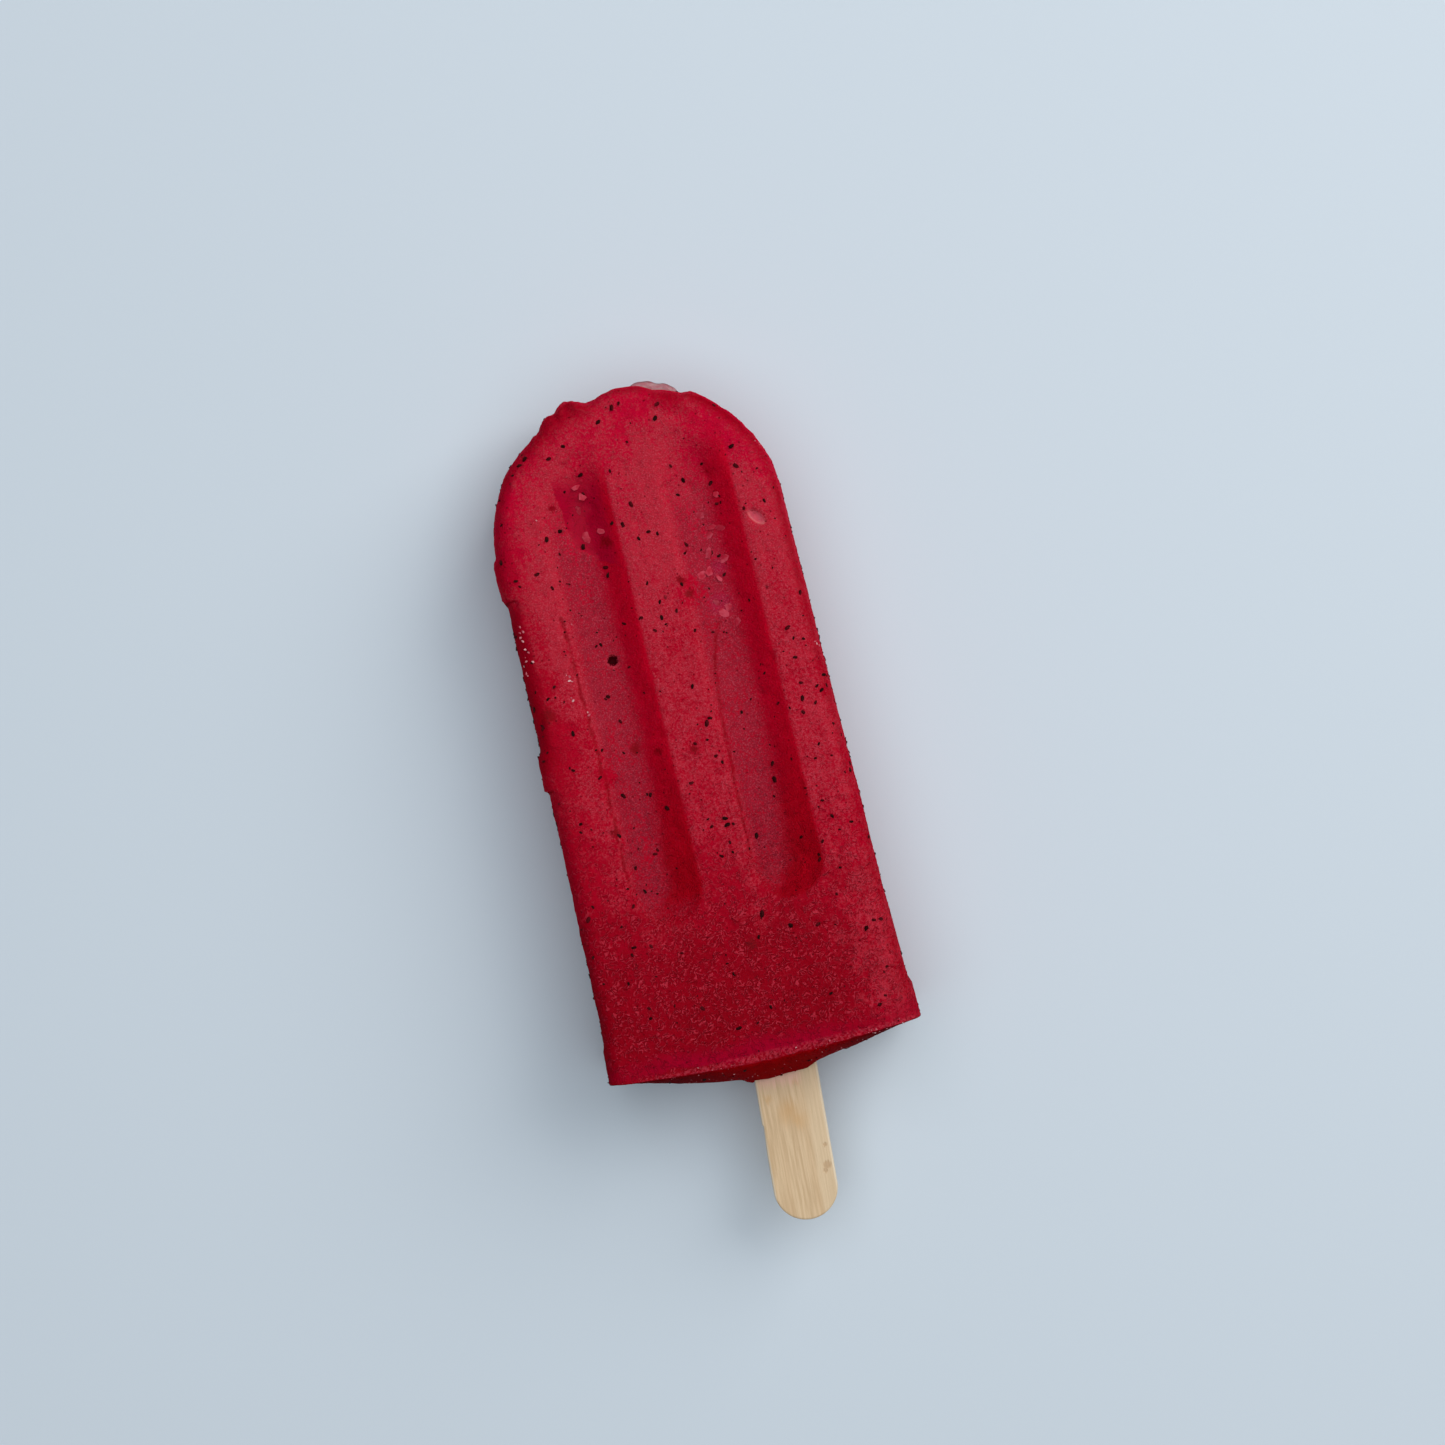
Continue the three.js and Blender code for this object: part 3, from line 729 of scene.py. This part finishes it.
seed_finish, tree, where = new_finish("berry_seed")
tint = noise(where, 0.6, 2).ease(0.4, 0.7)
roughness = 0.45 + 0.2 * noise(where, 3, 2)
seed_looks = {"IOR": 1.4, "Specular IOR Level": 0.05}
coat(tree, mix(tint, SEED_DARK, SEED_LIGHT), roughness, noise(where, 4, 2) * 0.05, seed_looks)


def random_value(tree, low, high, seed):
    inputs = {2: low, 3: high, "Seed": seed}
    return Wire.add(tree, "FunctionNodeRandomValue", {"data_type": "FLOAT"}, inputs)


def lumpy_ball(tree, squash):
    """A small lump a unit in radius, squashed by those amounts."""
    round_ball = {"Radius": 1.0, "Segments": LUMP_SEGMENTS, "Rings": LUMP_RINGS}
    ball = Wire.add(tree, "GeometryNodeMeshUVSphere", {}, round_ball)
    place = Wire.add(tree, "GeometryNodeInputPosition")
    lump = {0: place, "Scale": noise(place, 1.7, 2) * 2.2 - 0.1}
    lumpy = Wire.add(tree, "ShaderNodeVectorMath", {"operation": "SCALE"}, lump)
    squashed = Wire.add(tree, "ShaderNodeVectorMath", {"operation": "MULTIPLY"}, {0: lumpy, 1: squash})
    return Wire.add(tree, "GeometryNodeSetPosition", {}, {"Geometry": ball, "Position": squashed})


def turned(tree, rotation, tilt):
    """That rotation with a random turn and a random tilt of up to so much."""
    angles = [random_value(tree, -tilt, tilt, 3), random_value(tree, -tilt, tilt, 4)]
    turn = join(tree, *angles, random_value(tree, 0.0, 6.283, 5))  # a full turn about its own axis
    settings = {"rotation_space": "LOCAL"}
    return Wire.add(tree, "FunctionNodeRotateRotation", settings, {0: rotation, 1: turn})


def sprinkle(name, sizes, swarm, squash, places, finish):
    """Scatters lumps over the slab, thickest where swarm is high, and puts a larger one at each place."""
    tree, size = new_tree(name, sizes, geometry=True)
    place = {0: Wire.add(tree, "GeometryNodeInputPosition"), "Scale": 1 / MM}
    where = Wire.add(tree, "ShaderNodeVectorMath", {"operation": "SCALE"}, place)
    skin = size["Geometry"]
    scatter = {"Mesh": skin, "Density": size["Per square metre"] * swarm(where), "Seed": size["Seed"]}
    many = Wire.add(tree, "GeometryNodeDistributePointsOnFaces", {"distribute_method": "RANDOM"}, scatter)
    loose = 1 - Wire.add(tree, "GeometryNodeInputMeshVertexNeighbors").of("Face Count").over(0)
    chosen = Wire.add(tree, "GeometryNodeMeshToPoints", {}, {"Mesh": skin, "Selection": loose})
    flat = Wire.add(tree, "FunctionNodeEulerToRotation", {}, {0: (0.0, 0.0, 0.0)})
    chance = random_value(tree, 0.0, 1.0, 11)
    spread = size["Largest"] - size["Smallest"]
    placed_spread = size["Placed largest"] - size["Placed smallest"]
    groups = [
        (many, many.of("Rotation"), (size["Smallest"] + spread * chance**1.8) * MM),
        (chosen, flat, (size["Placed smallest"] + placed_spread * chance) * MM),
    ]
    lump = lumpy_ball(tree, squash)
    scattered = []
    for points, rotation, radius in groups:
        lying = turned(tree, rotation, LUMP_TILT)
        copies = {"Points": points, "Instance": lump, "Rotation": lying, "Scale": radius}
        scattered.append(Wire.add(tree, "GeometryNodeInstanceOnPoints", {}, copies))
    start = bmesh.new()  # the slab, and a loose point at each place
    start.from_mesh(slab.data)
    for place_x, place_y in places:
        found, point, *_ = slab.ray_cast((place_x * MM, place_y * MM, 1), (0, 0, -1))
        if found:
            start.verts.new(point)
    start_mesh = bpy.data.meshes.new(name + "_start")
    start.to_mesh(start_mesh)
    start.free()
    together = Wire.add(tree, "GeometryNodeJoinGeometry", {}, {0: scattered})
    return grow(name, tree, sizes, together, finish, start_mesh)


def seed_swarm(where):
    """How thick the seeds lie: in loose swarms, many along the left edge, few on the face near the base."""
    x, y, z = split(where)
    left_edge = (-x).ease(20.6, 21.4) * y.within(10, 36, 3, 3) * z.ease(TOP_FROM, TOP_TO)
    swarms = noise(where, 0.16, 2).ease(0.38, 0.68)
    sparse = 1 - 0.6 * (-y).ease(10, 18) * z.ease(20, 22)
    return (swarms * 0.85 + 0.15 + left_edge * 1.5) * z.ease(0.5, 2.5) * sparse


seeds = sprinkle("berry_seeds", SEEDS, seed_swarm, SEED_SQUASH, SEED_PLACES, seed_finish)
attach(seeds, "root")


# ---- Frost ----
# Ice crystals that grew on the slab: a ragged rim of pale grains where the base's edge was wiped, a few white
# flecks along the left side and loose clusters of flat crystals in the right flute. A few more white flecks
# on the left ridge are painted highlights.

FLECKS = {
    "Per square metre": 2500000.0,
    "Smallest": 0.05,
    "Largest": 0.17,
    "Placed smallest": 0.09,
    "Placed largest": 0.26,
    "Seed": 3,
}
# The white also serves the flecks that are painted highlights.
FLECK_PINK, FLECK_AND_GLINT_WHITE = (0.48, 0.07, 0.10), (0.68, 0.36, 0.37)
FLECK_SQUASH = (0.7, 1.2, 0.6)
# Places of the larger flecks, as x, y. Those from (-16.0, 24.2) to (-14.1, 17.5) are painted highlights.
FLECK_AND_GLINT_PLACES = [
    (-21.2, 33.0), (-21.4, 32.1), (-20.9, 32.2), (-21.5, 31.4), (-21.3, 30.8), (-21.2, 29.5), (-20.8, 28.9),
    (-21.5, 28.3), (-21.5, 27.7), (-20.5, 27.4), (-21.9, 25.9), (-21.8, 25.5), (-16.0, 24.2), (-15.6, 23.9),
    (-15.8, 23.3), (-15.4, 23.1), (-16.1, 20.7), (-15.9, 20.2), (-14.2, 18.0), (-14.1, 17.5), (-13.5, 31.6),
    (22.1, 20.0), (22.4, 19.7), (21.9, 20.4), (20.2, 52.3), (20.8, 51.6), (-15.0, 48.2), (2.4, -41.0),
]

fleck_finish, tree, where = new_finish("frost_flecks")
tint = noise(where, 1.2, 2).ease(0.4, 0.65)
colour = mix(tint, FLECK_PINK, FLECK_AND_GLINT_WHITE)
coat(tree, colour, 0.5 + 0.2 * tint, noise(where, 6, 2) * 0.05, {"IOR": ICE_IOR})


def rim_swarm(where):
    """How thick the grains lie: along the base's rim, round the stick and along the left edge."""
    x, y, z = split(where)
    along_rim = (-y).within(38.0, 39.7, 0.3, 0.4) * z.ease(22, 23.6)
    round_stick = 1 - length((x - 2.4) * 0.35, (z - 12.2) * 1.6).ease(1.6, 2.6)
    on_end = (-y).ease(39.5, 40.5) * 0.08
    left_edge = (-x).ease(20.6, 21.4) * y.within(22, 34.5, 3, 1) * z.ease(18.5, 20.5) * 0.35
    spots = noise(where, 0.8, 2).ease(0.45, 0.65)
    return (along_rim * 0.6 + left_edge) * spots + on_end + round_stick * (-y).ease(39.5, 41) * 0.5


flecks = sprinkle("frost_flecks", FLECKS, rim_swarm, FLECK_SQUASH, FLECK_AND_GLINT_PLACES, fleck_finish)
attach(flecks, "root")

CRYSTALS = {
    "Per square metre": 260000.0,
    "Smallest": 0.25,
    "Largest": 0.6,
    "Placed smallest": 0.6,
    "Placed largest": 0.95,
    "Seed": 5,
}
CRYSTAL_DEEP, CRYSTAL_PALE = (0.38, 0.012, 0.030), (0.48, 0.052, 0.082)
CRYSTAL_SQUASH = (1.0, 0.75, 0.14)
CRYSTAL_PLACES = [
    (10.7, 41.3), (11.9, 40.6), (9.9, 40.1), (9.2, 37.6), (11.4, 36.1), (8.9, 34.8), (7.6, 34.4),
    (10.1, 33.3), (8.6, 29.6), (10.2, 28.7), (9.6, 27.9), (11.0, 26.0), (12.8, 45.8), (9.1, 43.2),
    (-7.4, 50.5), (-8.0, 52.0), (-8.6, 48.2), (-8.2, 44.0), (-5.7, 44.5),
]
CLUSTER_MIDDLE, CLUSTER_HALVES = (9.4, 33.5), (2.0, 8.0)

crystal_finish, tree, where = new_finish("frost_crystals")
tint = noise(where, 0.9, 3).ease(0.35, 0.65)
colour = mix(tint, CRYSTAL_DEEP, CRYSTAL_PALE)
crystal_looks = {"IOR": ICE_IOR, "Specular IOR Level": 0.05}
coat(tree, colour, 0.4 + 0.2 * tint, noise(where, 2.5, 2) * 0.08, crystal_looks)


def cluster_swarm(where):
    """How thick the crystals lie: in clusters down the right flute's floor."""
    x, y, z = split(where)
    middle = CLUSTER_MIDDLE[0] + (33 - y) * -0.05
    from_middle = length((x - middle) / CLUSTER_HALVES[0], (y - CLUSTER_MIDDLE[1]) / CLUSTER_HALVES[1])
    clusters = 1 - from_middle.ease(0.5, 1.2)
    return clusters * z.ease(17, 19) * noise(where, 0.5, 2).ease(0.45, 0.6)


crystals = sprinkle(
    "frost_crystals", CRYSTALS, cluster_swarm, CRYSTAL_SQUASH, CRYSTAL_PLACES, crystal_finish
)
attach(crystals, "root")


# ---- The melt flake ----
# A thin clear sliver of meltwater that froze against the tip's wall on its right and still stands out of it,
# with a little juice drawn along its rim.

FLAKE_FROM, FLAKE_TO = math.radians(61.5), math.radians(82)
FLAKE_STEPS, FLAKE_ROWS = 30, 6
FLAKE_ROOT, FLAKE_REACH = 21.4, 1.55  # from the tip's centre, and from its root
FLAKE_WAVES = [(0.12, 11, 0), (0.07, 23, 1)]  # of its rim: height, how quick and start
FLAKE_TOP, FLAKE_SLOPE = 16.5, 0.96
FLAKE_RIM_HALF, FLAKE_ROOT_HALF = 0.08, 0.58
FLAKE_RIM = (22.7, 23.1)  # where the juice sets in, from the tip's centre
FLAKE_CLEAR, FLAKE_CLOUDY, FLAKE_JUICE = (0.85, 0.62, 0.62), (0.70, 0.30, 0.34), (0.55, 0.06, 0.11)

flake_solid = bmesh.new()
columns = []
for step in range(FLAKE_STEPS + 1):
    way = step / FLAKE_STEPS
    angle = FLAKE_FROM + (FLAKE_TO - FLAKE_FROM) * way
    bulge = math.sin(math.pi * way) ** 0.3
    ragged = sum(rise * math.sin(pace * way + start) for rise, pace, start in FLAKE_WAVES)
    reach = (FLAKE_REACH + ragged) * bulge + 0.1
    column = []
    for row in range(-FLAKE_ROWS, FLAKE_ROWS + 1):
        out = 1 - abs(row) / FLAKE_ROWS
        place = FLAKE_ROOT + reach * out
        half = (FLAKE_ROOT_HALF + (FLAKE_RIM_HALF - FLAKE_ROOT_HALF) * out) * (0.3 + 0.7 * bulge)
        level = FLAKE_TOP - FLAKE_SLOPE * out + 0.2 * math.sin(9 * way)
        level += math.copysign(half, row) if row else 0
        corner = Vector((place * math.cos(angle), SLAB["Tip centre"] + place * math.sin(angle), level))
        column.append(flake_solid.verts.new(corner * MM))
    columns.append(column)
for first, second in zip(columns, columns[1:]):
    for i in range(len(first)):
        after = (i + 1) % len(first)
        flake_solid.faces.new((first[i], first[after], second[after], second[i]))
flake_solid.faces.new(list(reversed(columns[0])))
flake_solid.faces.new(columns[-1])
bmesh.ops.recalc_face_normals(flake_solid, faces=flake_solid.faces)
for face in flake_solid.faces:
    face.smooth = True


def keep(name, solid):
    """Makes an object of that solid, and lets the solid go."""
    mesh = bpy.data.meshes.new(name)
    solid.to_mesh(mesh)
    solid.free()
    piece = bpy.data.objects.new(name, mesh)
    bpy.context.scene.collection.objects.link(piece)
    return piece


flake = keep("melt_flake", flake_solid)

flake_finish, tree, where = new_finish("melt_flake")
x, y, z = split(where)
from_centre = length(x, y - SLAB["Tip centre"])
juice = (from_centre + (noise(where, 1.5, 3) - 0.5) * 0.5).ease(*FLAKE_RIM)
cloudy = noise(where, 0.9, 3).ease(0.35, 0.65)
colour = mix(juice, mix(cloudy, FLAKE_CLEAR, FLAKE_CLOUDY), FLAKE_JUICE)
flake_looks = {"IOR": ICE_IOR, "Transmission Weight": 0.75, "Specular IOR Level": 0.5}
coat(tree, colour, 0.35 + 0.2 * cloudy, noise(where, 1.4, 3) * 0.3, flake_looks)
flake.data.materials.append(flake_finish)
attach(flake, "root")


# ---- The stick ----
# A flat treat stick cut from pale birch veneer, with round ends and eased edges, frozen in a little crooked.
# The grain runs along it, and it carries a tan band and a few brown flecks.

STICK_LENGTH, STICK_WIDTH, STICK_THICKNESS = 0.114, 0.010, 0.002
STICK_EASE = 0.00035
STICK_LEAN = math.radians(3.7)
STICK_CLIMB = math.atan(1.5 / SLAB["Straight"])
STICK_END = (0.00075, -0.0662, 0.01275)  # the middle of its free end
STICK_FOOT = (5.0, -66.0)  # the same place in millimetres, with the lean turned back
ROUND_STEPS, EASE_STEPS = 28, 3
NICK = [(0.0156, -1.0), (0.0152, -0.965), (0.0135, -0.98), (0.011, -1.0)]  # along from the free end, across

# Across the stick and along it, in millimetres, then radius.
STAINS = [(-0.4, 16.8, 2.6), (0.9, 15.6, 2.0), (1.4, 21.5, 0.7), (-3.2, 19.6, 0.9)]
BROWN_FLECKS = [(4.1, 11.1, 0.35), (3.9, 7.9, 0.7), (3.5, 7.1, 0.4)]
BIRCH_DARK, BIRCH_LIGHT = (0.55, 0.37, 0.205), (0.70, 0.505, 0.31)
BIRCH_BAND, BIRCH_PALE = (0.57, 0.35, 0.18), (0.71, 0.54, 0.35)
STAIN_TAN, JUICE_PINK = (0.60, 0.34, 0.14), (0.80, 0.44, 0.37)
FLECK_BROWN, DASH_BROWN = (0.40, 0.22, 0.10), (0.40, 0.26, 0.15)
# painted highlight along the stick's eased edges
EDGE_HIGHLIGHT_PALE = (0.78, 0.68, 0.53)

stick_finish, tree, where = new_finish("birch")
turned_back = {"Vector": where, "Rotation": (0, 0, STICK_LEAN)}
x, y, z = split(Wire.add(tree, "ShaderNodeMapping", {"vector_type": "POINT"}, turned_back))
x, y = x - STICK_FOOT[0], y - STICK_FOOT[1]
fibres = noise(join(tree, x * 3.0, y * 0.12, z * 3.0), 1.0, 5, 0.6)
bands = noise(join(tree, x * 0.35, y * 0.02, z * 0.1), 1.0, 3)
clouds = noise(join(tree, x * 0.5, y * 0.3, z * 0.5), 1.0, 3)
dashes = cells(join(tree, x * 5, y * 0.8, z * 5), 1.0)
fray = fibres - 0.5
wavy_x, wavy_y = x + (clouds - 0.5) * 2.5, y + fray * 5
juice = (y + fray * 3).ease(20.4, 22.6) * x.within(-5, 3, 1, 2)
birch_layers = [
    (bands.ease(0.45, 0.7) * 0.35, BIRCH_BAND),
    (x.within(1.9, 4.9, 0.8, 0.3) * 0.5, BIRCH_PALE),
    (lumps(wavy_x, wavy_y, STAINS, 0) * 0.6, STAIN_TAN),
    (juice * 0.6, JUICE_PINK),
    (lumps(x + fray, wavy_y * 0.3 + y * 0.7, BROWN_FLECKS) * 0.5, FLECK_BROWN),
    ((1 - dashes.ease(0.08, 0.2)) * 0.22, DASH_BROWN),
    # painted highlight along both eased edges
    (abs(x).ease(4.55, 4.85) * 0.6, EDGE_HIGHLIGHT_PALE),
]
colour = layered(mix(fibres.ease(0.3, 0.7), BIRCH_DARK, BIRCH_LIGHT), birch_layers)
height = fibres * 0.04 - lumps(x, y, BROWN_FLECKS) * 0.05
coat(tree, colour, 0.62 + 0.2 * fibres, height, {"IOR": 1.45})

# The outline: across and along from a centre, in half widths, and how far along the stick that centre is.
outline = []
for centre_y, start in ((STICK_LENGTH - STICK_WIDTH / 2, 0.0), (STICK_WIDTH / 2, math.pi)):
    for step in range(ROUND_STEPS + 1):
        angle = start + math.pi * step / ROUND_STEPS
        outline.append((math.cos(angle), math.sin(angle), centre_y))
    if start == 0.0:
        outline += [(nick_x, 0.0, nick_y) for nick_y, nick_x in NICK]

# Rings of that outline from the back face to the front, drawn in a little where the edges are eased.
stick_solid = bmesh.new()
loops = []
for step in range(-EASE_STEPS, EASE_STEPS + 1):
    tilt = math.pi / 2 * step / EASE_STEPS
    reach = STICK_WIDTH / 2 - STICK_EASE * (1 - math.cos(tilt))
    height = math.copysign(STICK_THICKNESS / 2 - STICK_EASE, step) if step else 0.0
    height += STICK_EASE * math.sin(tilt)
    loops.append([stick_solid.verts.new((c * reach, middle + s * reach, height)) for c, s, middle in outline])
for lower, upper in zip(loops, loops[1:]):
    for i in range(len(outline)):
        after = (i + 1) % len(outline)
        stick_solid.faces.new((lower[i], lower[after], upper[after], upper[i]))
stick_solid.faces.new(list(reversed(loops[0])))
stick_solid.faces.new(loops[-1])
turn = Euler((-STICK_CLIMB, 0, -STICK_LEAN)).to_matrix().to_4x4()
stick_solid.transform(Matrix.Translation(STICK_END) @ turn)
stick = keep("treat_stick", stick_solid)
stick.data.materials.append(stick_finish)
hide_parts("stick")
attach(stick, "root")
